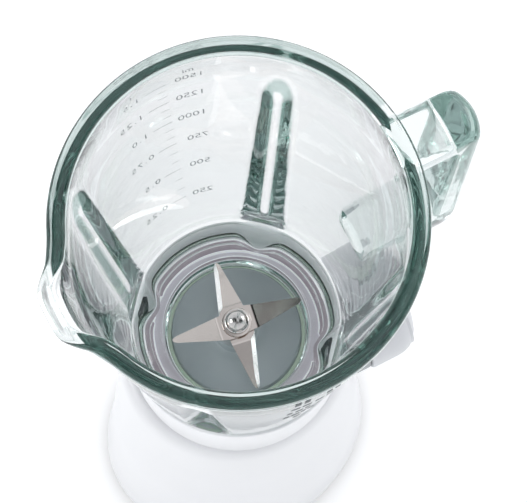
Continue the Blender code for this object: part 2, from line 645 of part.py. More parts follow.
def make_fan(parent):
    at = (AXIS_X, 0.0, 0.0)
    bore = SHAFT_R + GAP
    profile = [(bore, 40.0), (8.0, 40.0), (9.0, 30.6), (33.0, 30.6), (33.0, 29.0), (bore, 29.0)]
    fan = turned("cooling_fan", profile, at, "dark_plastic", parent, ROUND, ring=True)
    for i in range(9):
        degrees = 40.0 * i
        x, y = polar(20.0, degrees)
        middle = (AXIS_X + x, y, 34.6)
        blade = cutter_box(f"fan_blade_{i + 1}", (25.0, 1.4, 9.0), middle, math.radians(degrees + 8.0))
        combine(fan, blade, "UNION")


# ---------------------------------------------------------------- the speed control
def casing_cutter(rings):
    """The casing's outer shape, a little larger, which the bezel's back is cut to."""
    shape = loft("casing_shape", rings, (AXIS_X, 0, 0), "white_plastic", None)
    PARTS.objects.unlink(shape)
    return hide(shape)


def make_control(base, knob):
    at = (AXIS_X, 0.0, KNOB_Z)
    face = KNOB_FACE_X
    rim, back = 25.4, face - 6.0
    profile = [(7.0, face + 3.0), (22.6, face + 3.0), (23.4, face + 2.2), (23.4, face)]
    profile += [(rim, face), (rim, back), (7.0, back)]
    bezel = turned("knob_bezel", profile, at, "grey_plastic", base, ROUND, "X", ring=True)
    casing = [ellipse(a + GAP, b + GAP, z) for z, a, b in BASE_SECTIONS]
    combine(bezel, casing_cutter(casing))
    block("switch_body", (13.0, 26.0, 24.0), (AXIS_X + 40.0, 0.0, KNOB_Z), "dark_plastic", base, bevel=1.5)
    bore = cutter_rod("switch_bore", 3.2, 18.0, (AXIS_X + 44.0, 0.0, KNOB_Z), "X")
    combine(bpy.data.objects["switch_body"], bore)
    rod("switch_spindle", 3.0, 36.0, 73.4, at, "steel", knob, FINE, "X")
    body = [(0.0, KNOB_END_X), (9.0, KNOB_END_X - 0.4), (17.0, KNOB_END_X - 1.8), (22.5, KNOB_END_X - 4.4)]
    body += [(25.4, KNOB_END_X - 8.0), (KNOB_R, KNOB_END_X - 13.0)]
    body += [(KNOB_R, face + 1.4), (KNOB_R - 0.8, face + 0.6)]
    body += [(24.0, face + 0.6), (24.0, 76.5), (3.0 + GAP, 76.5), (3.0 + GAP, 76.8), (0.0, 76.8)]
    turned("speed_knob", body, at, "grey_plastic", knob, ROUND, "X")
    hub = [(3.0 + GAP, 73.0), (7.0, 73.0), (7.0, 58.0), (3.0 + GAP, 58.0)]
    turned("knob_hub", hub, at, "steel", knob, FINE, "X", ring=True)


def make_cutout(parent):
    block("thermal_cutout", (9.0, 12.0, 6.0), (AXIS_X - 30.0, 0.0, 110.0), "dark_plastic", parent)


# ---------------------------------------------------------------- assembly
def main():
    base = empty("base_root", AXIS_X, 0.0, 0.0)
    jug = empty("jug_lift_axis", AXIS_X, 0.0, COLLAR_LOW_Z, base)
    blades = empty("blade_spin_axis", AXIS_X, 0.0, DISC_Z, jug)
    rotor = empty("motor_spin_axis", AXIS_X, 0.0, DECK_Z, base)
    knob = empty("knob_turn_axis", AXIS_X, 0.0, KNOB_Z, base)
    make_jug(jug)
    make_blade_holder(jug)
    make_collar(jug)
    make_blade_unit(blades)
    make_housing(base)
    make_seat(base)
    make_bottom(base)
    make_gland(base)
    make_stator(base)
    make_brackets(base)
    make_mounts(base)
    make_brushes(base)
    make_cutout(base)
    make_rotor(rotor)
    make_control(base, knob)


main()
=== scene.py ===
"""The looks of the countertop blender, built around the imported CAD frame.

Lengths in the shape tables are millimetres measured from the jug's axis, heights from the table.
Everything is made in the frame's own coordinates: +X towards the handle, -X towards the spout.
"""

import json
import math
import random

import bmesh
import bpy
from mathutils import Matrix, Vector


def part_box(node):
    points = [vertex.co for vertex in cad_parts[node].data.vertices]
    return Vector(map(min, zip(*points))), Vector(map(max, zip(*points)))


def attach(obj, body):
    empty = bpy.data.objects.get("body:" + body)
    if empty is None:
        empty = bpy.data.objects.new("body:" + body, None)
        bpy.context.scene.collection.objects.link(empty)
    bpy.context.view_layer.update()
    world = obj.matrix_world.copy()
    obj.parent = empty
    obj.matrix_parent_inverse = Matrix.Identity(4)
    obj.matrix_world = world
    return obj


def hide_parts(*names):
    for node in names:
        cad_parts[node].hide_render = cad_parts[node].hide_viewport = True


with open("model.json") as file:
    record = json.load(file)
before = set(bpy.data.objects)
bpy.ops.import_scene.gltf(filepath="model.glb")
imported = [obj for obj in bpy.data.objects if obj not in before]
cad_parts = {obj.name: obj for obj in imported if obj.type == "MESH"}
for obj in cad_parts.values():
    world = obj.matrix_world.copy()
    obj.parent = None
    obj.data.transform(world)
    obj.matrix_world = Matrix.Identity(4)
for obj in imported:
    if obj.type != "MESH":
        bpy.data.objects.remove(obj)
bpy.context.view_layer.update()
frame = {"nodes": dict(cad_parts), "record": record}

MM = 0.001
NODES = frame["nodes"]


def centre_of(node):
    low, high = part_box(node)
    return (low + high) / 2


# ---------------------------------------------------------------- places read from the frame, millimetres
AXIS = Vector((centre_of("motor_shaft").x, centre_of("motor_shaft").y, 0.0))
RIM_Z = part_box("glass_jug")[1].z / MM
RIM_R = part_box("glass_jug")[1].y / MM
SPOUT_R = (AXIS.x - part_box("glass_jug")[0].x) / MM
HANDLE_R = (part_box("glass_jug")[1].x - AXIS.x) / MM
GLASS_FOOT_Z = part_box("glass_jug")[0].z / MM
COLLAR_LOW_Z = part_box("jug_collar")[0].z / MM
COLLAR_HIGH_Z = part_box("jug_collar")[1].z / MM
DISC_Z = GLASS_FOOT_Z + 7.0    # top of the blade plate
DECK_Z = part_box("upper_housing")[1].z / MM
KNOB_C = centre_of("speed_knob")
KNOB_R = (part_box("speed_knob")[1].z - KNOB_C.z) / MM
KNOB_BACK_X = (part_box("speed_knob")[0].x - AXIS.x) / MM
KNOB_END_X = (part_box("speed_knob")[1].x - AXIS.x) / MM

WALL_TAPER = 0.141        # how much the radius grows per millimetre of height
WALL_LOW_T = 4.8          # glass thickness at the foot of the wall
WALL_HIGH_T = 2.9         # the same under the rim
RIM_T = 7.6               # width of the rim's bead
TURN = 2 * math.pi


# ---------------------------------------------------------------- camera
def make_camera():
    """A long lens high above the table, looking steeply down into the jug."""
    azimuth = math.radians(-28.5)      # from the jug's handle axis to the picture's horizontal
    distance, height = 423.1, 2000.0   # from the axis, and above the blade disc
    pitch, roll, yaw = 1.34574, 0.04405, 0.0235
    forward = Vector((math.sin(yaw) * math.cos(pitch), math.cos(yaw) * math.cos(pitch), -math.sin(pitch)))
    side = forward.cross(Vector((0, 0, 1))).normalized()
    top = side.cross(forward)
    right = side * math.cos(roll) + top * math.sin(roll)
    up = top * math.cos(roll) - side * math.sin(roll)
    turn = Matrix.Rotation(azimuth, 3, "Z")
    place = turn @ Vector((0.0, -distance, height)) * MM + AXIS + Vector((0, 0, DISC_Z * MM))
    axes = Matrix((turn @ right, turn @ up, turn @ -forward)).transposed()
    data = bpy.data.cameras.new("camera")
    data.sensor_width = 36.0
    data.lens = 329.0
    data.clip_end = 20.0
    camera = bpy.data.objects.new("camera", data)
    camera.matrix_world = Matrix.Translation(place) @ axes.to_4x4()
    bpy.context.scene.collection.objects.link(camera)
    bpy.context.scene.camera = camera


# ---------------------------------------------------------------- materials
def new_material(name):
    made = bpy.data.materials.new(name)
    made.use_nodes = True
    tree = made.node_tree
    return made, tree, tree.nodes["Principled BSDF"], tree.nodes["Material Output"]


def node(tree, kind, **values):
    made = tree.nodes.new(kind)
    for key, value in values.items():
        if key in made.inputs:
            made.inputs[key].default_value = value
        else:
            setattr(made, key, value)
    return made


def coordinates(tree, stretch=(1.0, 1.0, 1.0)):
    where = node(tree, "ShaderNodeTexCoord")
    scaled = node(tree, "ShaderNodeMapping")
    scaled.inputs["Scale"].default_value = stretch
    tree.links.new(where.outputs["Object"], scaled.inputs["Vector"])
    return scaled.outputs["Vector"]


def noise(tree, vector, scale, detail=3.0, roughness=0.5):
    made = node(tree, "ShaderNodeTexNoise", Scale=scale, Detail=detail, Roughness=roughness)
    tree.links.new(vector, made.inputs["Vector"])
    return made.outputs["Fac"]


def ramp(tree, factor, stops):
    made = node(tree, "ShaderNodeValToRGB")
    entries = made.color_ramp.elements
    while len(entries) < len(stops):
        entries.new(0.5)
    for entry, (position, colour) in zip(entries, stops):
        entry.position = position
        entry.color = (*colour, 1.0) if len(colour) == 3 else colour
    tree.links.new(factor, made.inputs["Fac"])
    return made.outputs["Color"]


def bump(tree, shader, height, strength, distance=0.0002):
    made = node(tree, "ShaderNodeBump", Strength=strength, Distance=distance)
    tree.links.new(height, made.inputs["Height"])
    tree.links.new(made.outputs["Normal"], shader.inputs["Normal"])


def grey(value):
    return (value, value, value)


def plastic(name, colour, roughness, grain=900.0, grain_strength=0.12, mottle=0.025, soft=0.0):
    """Moulded plastic: slightly uneven in colour, with a fine grain; soft lets light in under the skin."""
    made, tree, shader, _ = new_material(name)
    where = coordinates(tree)
    cloud = noise(tree, where, 18.0, 4.0)
    darker = tuple(c * (1.0 - mottle) for c in colour)
    lighter = tuple(min(1.0, c * (1.0 + mottle)) for c in colour)
    tree.links.new(ramp(tree, cloud, [(0.3, darker), (0.7, lighter)]), shader.inputs["Base Color"])
    shader.inputs["Roughness"].default_value = roughness
    shader.inputs["Subsurface Weight"].default_value = soft
    shader.inputs["Subsurface Radius"].default_value = (1.0, 1.0, 1.0)
    shader.inputs["Subsurface Scale"].default_value = 0.006
    bump(tree, shader, noise(tree, where, grain, 2.0), grain_strength, 0.00005)
    return made


def metal(name, colour, roughness, brush=(40.0, 900.0, 900.0), strength=0.15, mottle=0.06):
    """Metal with a directional grain; brush stretches the grain along its smallest value."""
    made, tree, shader, _ = new_material(name)
    shader.inputs["Metallic"].default_value = 1.0
    grain = noise(tree, coordinates(tree, brush), 1.0, 3.0)
    cloud = noise(tree, coordinates(tree), 60.0, 3.0)
    darker = tuple(c * (1.0 - mottle) for c in colour)
    tree.links.new(ramp(tree, cloud, [(0.3, darker), (0.7, colour)]), shader.inputs["Base Color"])
    gloss = ramp(tree, grain, [(0.25, grey(roughness * 0.7)), (0.75, grey(roughness * 1.3))])
    tree.links.new(gloss, shader.inputs["Roughness"])
    bump(tree, shader, grain, strength, 0.00003)
    return made


def glass(name, tint, density, painted_dark_tint):
    """Pressed glass: clear where thin, deep green where light runs along it, with painted shade darkening
    its colour on the rib flanks and round the rim; faint waves in the surface.
    """
    made, tree, shader, output = new_material(name)
    flank = node(tree, "ShaderNodeAttribute", attribute_name="flank")
    # painted shade: where the flank attribute is high the glass colour darkens, standing in for the dark of
    # the rim and rib flanks
    surface = ramp(tree, flank.outputs["Fac"], [(0.25, grey(1.0)), (0.8, painted_dark_tint)])
    tree.links.new(surface, shader.inputs["Base Color"])
    shader.inputs["Transmission Weight"].default_value = 1.0
    shader.inputs["IOR"].default_value = 1.5
    where = coordinates(tree)
    smear = ramp(tree, noise(tree, where, 30.0, 3.0), [(0.45, grey(0.0)), (0.8, grey(0.02))])
    tree.links.new(smear, shader.inputs["Roughness"])
    bump(tree, shader, noise(tree, where, 45.0, 2.0), 0.12, 0.0006)
    volume = node(tree, "ShaderNodeVolumeAbsorption", Density=density)
    volume.inputs["Color"].default_value = (*tint, 1.0)
    tree.links.new(volume.outputs["Volume"], output.inputs["Volume"])
    return made


def banded(name, bands, roughness, painted_glow):
    """A pale ring whose tone changes with the distance from the jug's axis, in bands partly painted to stand
    in for what the glass foot refracts onto it; a painted glow of its own lifts it out of the shade inside
    the collar.
    """
    made, tree, shader, _ = new_material(name)
    where = node(tree, "ShaderNodeTexCoord")
    flat = node(tree, "ShaderNodeVectorMath", operation="MULTIPLY_ADD")
    flat.inputs[1].default_value = (1.0, 1.0, 0.0)
    flat.inputs[2].default_value = -AXIS
    tree.links.new(where.outputs["Object"], flat.inputs[0])
    length = node(tree, "ShaderNodeVectorMath", operation="LENGTH")
    tree.links.new(flat.outputs["Vector"], length.inputs[0])
    span = node(tree, "ShaderNodeMapRange")
    span.inputs["From Min"].default_value = bands[0][0] * MM
    span.inputs["From Max"].default_value = bands[-1][0] * MM
    tree.links.new(length.outputs["Value"], span.inputs["Value"])
    low, high = bands[0][0], bands[-1][0]
    tone = ramp(tree, span.outputs["Result"], [((r - low) / (high - low), colour) for r, colour in bands])
    tree.links.new(tone, shader.inputs["Base Color"])
    # painted glow: the band colours also emit light, lifting the seal out of the shade inside the collar
    tree.links.new(tone, shader.inputs["Emission Color"])
    shader.inputs["Emission Strength"].default_value = painted_glow
    shader.inputs["Roughness"].default_value = roughness
    bump(tree, shader, noise(tree, where.outputs["Object"], 1400.0, 2.0), 0.2, 0.00005)
    return made


def rubber(name, colour, roughness=0.6):
    return plastic(name, colour, roughness, grain=1400.0, grain_strength=0.25, mottle=0.12)


def ink(name, colour):
    made, tree, shader, _ = new_material(name)
    where = coordinates(tree)
    thin = tuple(c + 0.10 for c in colour)
    patchy = noise(tree, where, 700.0, 3.0)
    tree.links.new(ramp(tree, patchy, [(0.35, colour), (0.75, thin)]), shader.inputs["Base Color"])
    shader.inputs["Roughness"].default_value = 0.6
    return made


SEAL_TONES_AND_PAINTED_LIGHT = (    # radius in millimetres, colour; partly painted light seen through the glass foot
    (27.0, (0.26, 0.32, 0.27)), (31.4, (0.30, 0.36, 0.31)),    # greenish beside the plate, painted in for the glass's cut edge seen through the floor
    (32.0, (0.40, 0.37, 0.41)), (35.8, (0.50, 0.46, 0.52)),    # mauve grey
    (36.3, (0.86, 0.86, 0.90)), (36.7, (0.82, 0.82, 0.86)),    # a thin light line, a painted highlight
    (37.1, (0.30, 0.25, 0.29)), (41.4, (0.33, 0.28, 0.32)),    # darker mauve
    (42.2, (0.80, 0.78, 0.82)), (43.0, (0.90, 0.90, 0.92)),    # pale outer edge
)

MATERIALS = {
    # the glass: real green absorption, plus painted shade on rib flanks and rim
    "glass": glass("clear_green_glass", (0.45, 0.62, 0.58), 17.0, painted_dark_tint=(0.30, 0.42, 0.39)),
    "white": plastic("white_casing", (0.78, 0.785, 0.80), 0.32, mottle=0.012, soft=0.5),
    "plate": plastic("blue_grey_plate", (0.33, 0.375, 0.39), 0.20, grain=500.0, grain_strength=0.10,
                     mottle=0.08),
    "trim": plastic("grey_trim", (0.32, 0.34, 0.35), 0.40),
    "knob": plastic("pale_grey_knob", (0.62, 0.63, 0.65), 0.36, grain_strength=0.18),
    "dark": plastic("dark_parts", (0.035, 0.035, 0.038), 0.45, mottle=0.10),
    # the seal ring: painted glow and painted refraction bands over its mauve grey
    "seal": banded("mauve_grey_seal_painted_glow", SEAL_TONES_AND_PAINTED_LIGHT, 0.45, 0.55),
    "rubber": rubber("black_rubber", (0.018, 0.018, 0.019)),
    "steel": metal("satin_stainless", (0.74, 0.675, 0.635), 0.11, brush=(30.0, 500.0, 500.0),
                   strength=0.05, mottle=0.03),
    "ground": metal("ground_edge", (0.99, 0.98, 0.97), 0.30, brush=(900.0, 60.0, 900.0),
                    strength=0.15, mottle=0.02),
    "chrome": metal("polished_steel", (0.56, 0.54, 0.53), 0.04, strength=0.02, mottle=0.02),
    "plain": metal("plated_steel", (0.50, 0.50, 0.51), 0.38),
    "iron": metal("laminations", (0.24, 0.24, 0.25), 0.50, brush=(60.0, 60.0, 1600.0), strength=0.6),
    "copper": metal("enamelled_copper", (0.60, 0.26, 0.10), 0.35, brush=(60.0, 60.0, 1800.0), strength=0.8),
    "brass": metal("brass_parts", (0.66, 0.48, 0.20), 0.33),
    "scale_ink": ink("scale_ink", (0.30, 0.31, 0.32)),
    "dark_ink": ink("dark_ink", (0.05, 0.065, 0.07)),
}

FINISH_OF_SLOT = {
    "jug_glass": "glass",
    "white_casing": "white",
    "holder_plate": "plate",
    "grey_trim": "trim",
    "knob_grey": "knob",
    "dark_parts": "dark",
    "black_rubber": "rubber",
    "grey_silicone": "seal",
    "blade_steel": "steel",
    "polished_nut": "chrome",
    "plain_steel": "plain",
    "motor_iron": "iron",
    "winding_copper": "copper",
    "brass_parts": "brass",
}


def finish_cad_nodes():
    """Every CAD node gets the procedural material of its record slot."""
    for entry in frame["record"]["subparts"]:
        target = NODES[entry["node"]]
        target.data.materials.clear()
        target.data.materials.append(MATERIALS[FINISH_OF_SLOT[entry["material_slot"]]])


# ---------------------------------------------------------------- mesh helpers
def from_bmesh(name, bm, material, body, replaced=(), sharp=35.0, recalculate=True):
    """A finished piece from a bmesh in millimetres around the jug's axis; sharp is its smoothing limit."""
    if recalculate:
        bmesh.ops.recalc_face_normals(bm, faces=bm.faces)
    bmesh.ops.scale(bm, vec=(MM, MM, MM), verts=bm.verts)
    bmesh.ops.translate(bm, vec=AXIS, verts=bm.verts)
    mesh = bpy.data.meshes.new(name)
    bm.to_mesh(mesh)
    bm.free()
    mesh.shade_smooth()
    mesh.set_sharp_from_angle(angle=math.radians(sharp))
    mesh.materials.append(MATERIALS[material])
    piece = bpy.data.objects.new(name, mesh)
    bpy.context.scene.collection.objects.link(piece)
    return settle(piece, body, replaced)


def settle(piece, body, replaced=()):
    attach(piece, body)
    if replaced:
        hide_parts(*replaced)
    return piece


def skin(bm, rings, closed=False, capped=True):
    """Quads between rings of equally many points."""
    rows = [[bm.verts.new(point) for point in ring] for ring in rings]
    pairs = list(zip(rows, rows[1:]))
    if closed:
        pairs.append((rows[-1], rows[0]))
    count = len(rows[0])
    for low, high in pairs:
        for i in range(count):
            j = (i + 1) % count
            bm.faces.new((low[i], low[j], high[j], high[i]))
    if capped and not closed:
        bm.faces.new(rows[0])
        bm.faces.new(rows[-1])
    return rows


def rounded(points, radius, steps=4):
    """A closed 2D outline with rounded corners; radius is one number or one for each corner."""
    count = len(points)
    radii = [radius] * count if isinstance(radius, (int, float)) else list(radius)
    out = []
    for i, corner in enumerate(points):
        if radii[i] <= 0.0:
            out.append(tuple(corner))
            continue
        here = Vector(corner)
        back = Vector(points[i - 1]) - here
        ahead = Vector(points[(i + 1) % count]) - here
        reach = min(radii[i], back.length * 0.48, ahead.length * 0.48)
        start = here + back.normalized() * reach
        end = here + ahead.normalized() * reach
        for k in range(steps + 1):
            t = k / steps
            out.append(tuple(start.lerp(here, t).lerp(here.lerp(end, t), t)))
    return out


def turned(name, profile, material, body, replaced=(), steps=144, axis="Z", centre=None):
    """A closed or axis-to-axis profile of (radius, height) turned round Z, or round X at a given centre."""
    bm = bmesh.new()
    on_axis = profile[0][0] == 0.0 and profile[-1][0] == 0.0
    body_points = profile[1:-1] if on_axis else profile
    rings = []
    for radius, height in body_points:
        ring = []
        for i in range(steps):
            angle = TURN * i / steps
            along, across = radius * math.cos(angle), radius * math.sin(angle)
            if axis == "X":
                ring.append((height, along + centre[1], across + centre[2]))
            else:
                ring.append((along, across, height))
        rings.append(ring)
    rows = skin(bm, rings, closed=not on_axis, capped=False)
    if on_axis:
        for row, (_, height) in ((rows[0], profile[0]), (rows[-1], profile[-1])):
            tip = (height, centre[1], centre[2]) if axis == "X" else (0.0, 0.0, height)
            point = bm.verts.new(tip)
            for i in range(steps):
                bm.faces.new((row[i], row[(i + 1) % steps], point))
    return from_bmesh(name, bm, material, body, replaced)


def polar(radius, angle):
    return radius * math.cos(angle), radius * math.sin(angle)


def smooth(value):
    value = min(1.0, max(0.0, value))
    return value * value * (3.0 - 2.0 * value)


def mix(a, b, t):
    return a + (b - a) * t


# ---------------------------------------------------------------- the glass jug
RIB_ANGLE = 48.5          # degrees from the handle to the first of the four ribs
RIB_TOP_Z = DISC_Z + 173.0
RIB_POINT = 22.0          # height of the rounded point on top of a rib
RIB_LOW_Z = DISC_Z + 20.0
RIB_RUN_OUT = 5.0         # height over which a rib starts at its foot
RIB_LOW_HALF = 10.6       # half width of a rib at its foot and at its top
RIB_HIGH_HALF = 6.9
RIB_FLANK = 0.88          # part of the half width that slopes
RIB_SOFTER_INSIDE = 1.25  # how much wider the rib runs out on the inner wall

SPOUT_FLAT = 5.0          # degrees from the spout's middle to where its sides start to fall
SPOUT_WIDE = 19.0         # degrees over which its sides fall, below and under the lip
SPOUT_NARROW = 11.0
SPOUT_LOW_SHARE = 0.45    # part of the reach that is there below the lip

RIM_BEAD = (              # inset from the outer rim, drop from the top
    (1.2, 6.6), (0.5, 5.8), (0.1, 5.0), (0.0, 4.0), (0.0, 2.4), (0.15, 1.5), (0.55, 0.75), (1.2, 0.22),
    (2.0, 0.0), (3.8, 0.0), (5.6, 0.05), (6.4, 0.3), (7.0, 0.8), (7.4, 1.5), (RIM_T, 2.4), (RIM_T, 3.8),
    (7.4, 4.8), (6.9, 5.6),
)
FLOOR_STEPS = (           # radius, height above the blade plate, depth of the ribs there
    (42.6, 13.0, 6.0), (41.8, 10.6, 5.6), (40.6, 8.4, 5.2), (39.2, 7.0, 4.6), (37.6, 6.3, 4.0),
    (37.0, 6.1, 3.4), (36.7, 4.6, 2.6), (36.2, 4.2, 1.6), (34.0, 3.8, 0.6), (32.4, 3.5, 0.0),
    (31.8, 3.1, 0.0), (31.4, 2.7, 0.0), (31.1, 1.9, 0.0), (30.6, -0.3, 0.0), (30.2, -0.7, 0.0),
    (29.8, -3.0, 0.0), (29.4, -3.4, 0.0), (29.1, -6.2, 0.0), (29.6, -7.0, 0.0),
)


def wall_radius(z):
    """The outer wall: a straight taper that draws in a little under the rim."""
    return RIM_R - WALL_TAPER * (RIM_Z - 4.0 - z) - 1.9 * smooth((z - RIM_Z + 40.0) / 34.0)


def inner_radius(z):
    return wall_radius(z) - mix(WALL_LOW_T, WALL_HIGH_T, (z - DISC_Z) / (RIM_Z - DISC_Z))


def eased(value, ease=0.16):
    """A straight slope from 0 to 1 whose two ends are rounded off."""
    value = min(1.0, max(0.0, value))
    if value > 0.5:
        return 1.0 - eased(1.0 - value, ease)
    top = 1.0 / (1.0 - ease)
    return top * (value - ease / 2) if value > ease else top * value * value / (2 * ease)


def rib(theta, z, inside):
    """How far the wall is pressed in, 0 to 1, at four ribs that are wide at the foot and pointed on top."""
    nearest = (math.degrees(theta) - RIB_ANGLE) % 90.0
    offset = math.radians(min(nearest, 90.0 - nearest)) * wall_radius(z)
    across = offset / mix(RIB_LOW_HALF, RIB_HIGH_HALF, (z - RIB_LOW_Z) / (RIB_TOP_Z - RIB_LOW_Z))
    if z > RIB_TOP_Z - RIB_POINT:
        across = math.hypot(across, (z - RIB_TOP_Z + RIB_POINT) / RIB_POINT)
    if inside:
        return smooth(1.0 - across / RIB_SOFTER_INSIDE)
    if z < RIB_LOW_Z + RIB_RUN_OUT:
        across = math.hypot(across, (RIB_LOW_Z + RIB_RUN_OUT - z) / RIB_RUN_OUT)
    return eased((1.0 - across) / RIB_FLANK, 0.07)


def spout(theta, z):
    """How far the wall is drawn out at the spout: gently from below, then sharply under the lip."""
    offset = abs(math.degrees(theta) % 360.0 - 180.0)
    wide = eased(1.0 - (offset - SPOUT_FLAT) / SPOUT_WIDE, 0.3)
    narrow = eased(1.0 - (offset - SPOUT_FLAT) / SPOUT_NARROW, 0.3)
    below = SPOUT_LOW_SHARE * wide * smooth((z - (RIM_Z - 48.0)) / 40.0)
    lip = (1.0 - SPOUT_LOW_SHARE) * narrow * smooth((z - (RIM_Z - 10.0)) / 6.5)
    return (SPOUT_R - RIM_R) * (below + lip)


def jug_ring(base, z, press=0.0, inside=False, count=256):
    ring = []
    for i in range(count):
        theta = TURN * i / count
        radius = base + spout(theta, z)
        if press:
            radius -= press * rib(theta, z, inside)
        ring.append((*polar(radius, theta), z))
    return ring


def heights(low, high, step):
    count = max(1, round((high - low) / step))
    return [mix(low, high, i / count) for i in range(count + 1)]


def inner_press(z):
    """Depth of the ribs inside: shallow on the wall, deeper where they run out into the floor."""
    return mix(6.4, 0.6, smooth((z - DISC_Z - 10.0) / 18.0))


def outer_press(z):
    """Depth of the ribs outside, in millimetres."""
    return mix(4.4, 3.1, (z - RIB_LOW_Z) / (RIB_TOP_Z - RIB_LOW_Z))


def jug_wall_rings():
    """From the foot of the neck up the outside, over the rim, down the inside and through the floor."""
    neck_r, shoulder = 44.2, COLLAR_HIGH_Z + 0.6
    rings = [jug_ring(neck_r - 1.0, GLASS_FOOT_Z), jug_ring(neck_r, GLASS_FOOT_Z + 1.0)]
    rings += [jug_ring(neck_r, shoulder - 0.4), jug_ring(neck_r + 0.6, shoulder)]
    rings.append(jug_ring(wall_radius(shoulder) - 0.7, shoulder))
    rings.append(jug_ring(wall_radius(shoulder), shoulder + 0.9))
    levels = heights(shoulder + 2.5, DISC_Z + 24.0, 1.6)
    levels += heights(DISC_Z + 27.0, RIB_TOP_Z - 10.0, 4.0)
    levels += heights(RIB_TOP_Z - 7.0, RIB_TOP_Z + 1.0, 1.3)
    levels += heights(RIB_TOP_Z + 4.0, RIM_Z - 12.0, 4.0)
    rings += [jug_ring(wall_radius(z), z, outer_press(z)) for z in levels]
    rings.append(jug_ring(wall_radius(RIM_Z - 8.0), RIM_Z - 8.0))
    for inset, drop in RIM_BEAD:
        rings.append(jug_ring(RIM_R - inset, RIM_Z - drop))
    inner_levels = [z for z in reversed(levels) if z > DISC_Z + 16.0]
    rings.append(jug_ring(inner_radius(RIM_Z - 8.0), RIM_Z - 8.0))
    rings += [jug_ring(inner_radius(z), z, inner_press(z), True) for z in inner_levels]
    for radius, above, press in FLOOR_STEPS:
        rings.append(jug_ring(radius, DISC_Z + above, press, True))
    return rings


def handle_sides():
    """The handle's outline from the side: (radius, height, corner rounding), outer face then inner face."""
    return [
        (RIM_R - 3.4, RIM_Z - 7.0, 0.0), (HANDLE_R - 0.2, RIM_Z - 8.2, 9.0), (98.6, DISC_Z + 82.0, 5.0),
        (94.0, DISC_Z + 67.0, 9.0), (55.0, DISC_Z + 66.0, 0.0),
        (56.0, DISC_Z + 81.0, 0.0), (84.0, DISC_Z + 82.0, 5.0), (91.4, RIM_Z - 21.0, 5.0),
        (RIM_R - 3.4, RIM_Z - 20.0, 0.0),
    ]


def make_handle_mesh():
    """The handle as a mesh to be joined to the wall: the side outline drawn through, its edges rounded."""
    corners = handle_sides()
    outline = rounded([(x, z) for x, z, _ in corners], [r for _, _, r in corners], steps=6)
    half, edge = 11.5, 2.6      # half width and edge rounding
    bulge = 3.6                 # how far the middle of the end stands out past its sides
    bm = bmesh.new()
    count = len(outline)
    normals = []
    area = 0.0
    for i in range(count):
        before, here, after = outline[i - 1], outline[i], outline[(i + 1) % count]
        along = (Vector(after) - Vector(before)).normalized()
        normals.append(Vector((along.y, -along.x)))
        area += here[0] * after[1] - after[0] * here[1]
    outward = 1.0 if area > 0 else -1.0
    rings = []
    for k in range(5):
        angle = math.radians(90.0 * k / 4)
        inset, y = edge * (1.0 - math.sin(angle)), -half + edge * (1.0 - math.cos(angle))
        shift = outward * inset
        rings.append([(p[0] - n.x * shift, y, p[1] - n.y * shift) for p, n in zip(outline, normals)])
    flat = rings[-1]
    for k in range(1, 6):
        rings.append([(x, mix(-half + edge, 0.0, k / 6), z) for x, _, z in flat])
    rings.append([(x, 0.0, z) for x, _, z in flat])
    rings += [[(x, -y, z) for x, y, z in ring] for ring in reversed(rings[:-1])]
    for ring in rings:
        ring[:] = [(x - bulge * (y / half) ** 2 * smooth((x - 86.0) / 14.0), y, z) for x, y, z in ring]
    skin(bm, rings)
    bmesh.ops.recalc_face_normals(bm, faces=bm.faces)
    bmesh.ops.scale(bm, vec=(MM, MM, MM), verts=bm.verts)
    bmesh.ops.translate(bm, vec=AXIS, verts=bm.verts)
    mesh = bpy.data.meshes.new("handle_shape")
    bm.to_mesh(mesh)
    bm.free()
    return bpy.data.objects.new("handle_shape", mesh)


RIM_PAINTED_SHADE = 0.66           # how much painted shade darkens the rim, from 0 to 1
HANDLE_CLEAR = 12.0       # degrees from +X between which the rim is painted darker, clear of handle and spout
SPOUT_CLEAR = 166.0


def mark_painted_darkening(mesh):
    """Writes on each point how much painted shade darkens the glass there: on the flanks of the ribs and
    round the rim.
    """
    marks = mesh.attributes.new("flank", "FLOAT", "POINT")
    for vertex, mark in zip(mesh.vertices, marks.data):
        x, y, z = (vertex.co - AXIS) / MM
        theta = math.atan2(y, x)
        if RIB_LOW_Z - 2.0 < z < RIB_TOP_Z + 2.0 and math.hypot(x, y) > inner_radius(z) + 0.4:
            pressed = rib(theta, z, False)
            mark.value = 4.0 * pressed * (1.0 - pressed)
        elif z > RIM_Z - 7.0 and HANDLE_CLEAR < abs(math.degrees(theta)) < SPOUT_CLEAR:
            mark.value = RIM_PAINTED_SHADE


def make_jug():
    """The pressed wall with the handle joined on as one glass mesh."""
    bm = bmesh.new()
    skin(bm, jug_wall_rings(), closed=True)
    jug = from_bmesh("glass_jug_pressed", bm, "glass", "jug", ["glass_jug"], sharp=180.0)
    handle = make_handle_mesh()
    bpy.context.scene.collection.objects.link(handle)
    join = jug.modifiers.new("handle", "BOOLEAN")
    join.operation = "UNION"
    join.solver = "EXACT"
    join.object = handle
    mark_painted_darkening(jug.data)
    bpy.context.view_layer.update()
    graph = bpy.context.evaluated_depsgraph_get()
    joined = bpy.data.meshes.new_from_object(jug.evaluated_get(graph))
    jug.modifiers.remove(join)
    jug.data = joined
    bpy.data.objects.remove(handle, do_unlink=True)
    joined.shade_smooth()
    joined.set_sharp_from_angle(angle=math.radians(60.0))


# ---------------------------------------------------------------- prints on the glass
PRINT_LIFT = 0.08


def on_wall(theta, z, lift=PRINT_LIFT):
    radius = wall_radius(z) + lift
    return (*polar(radius, theta), z)


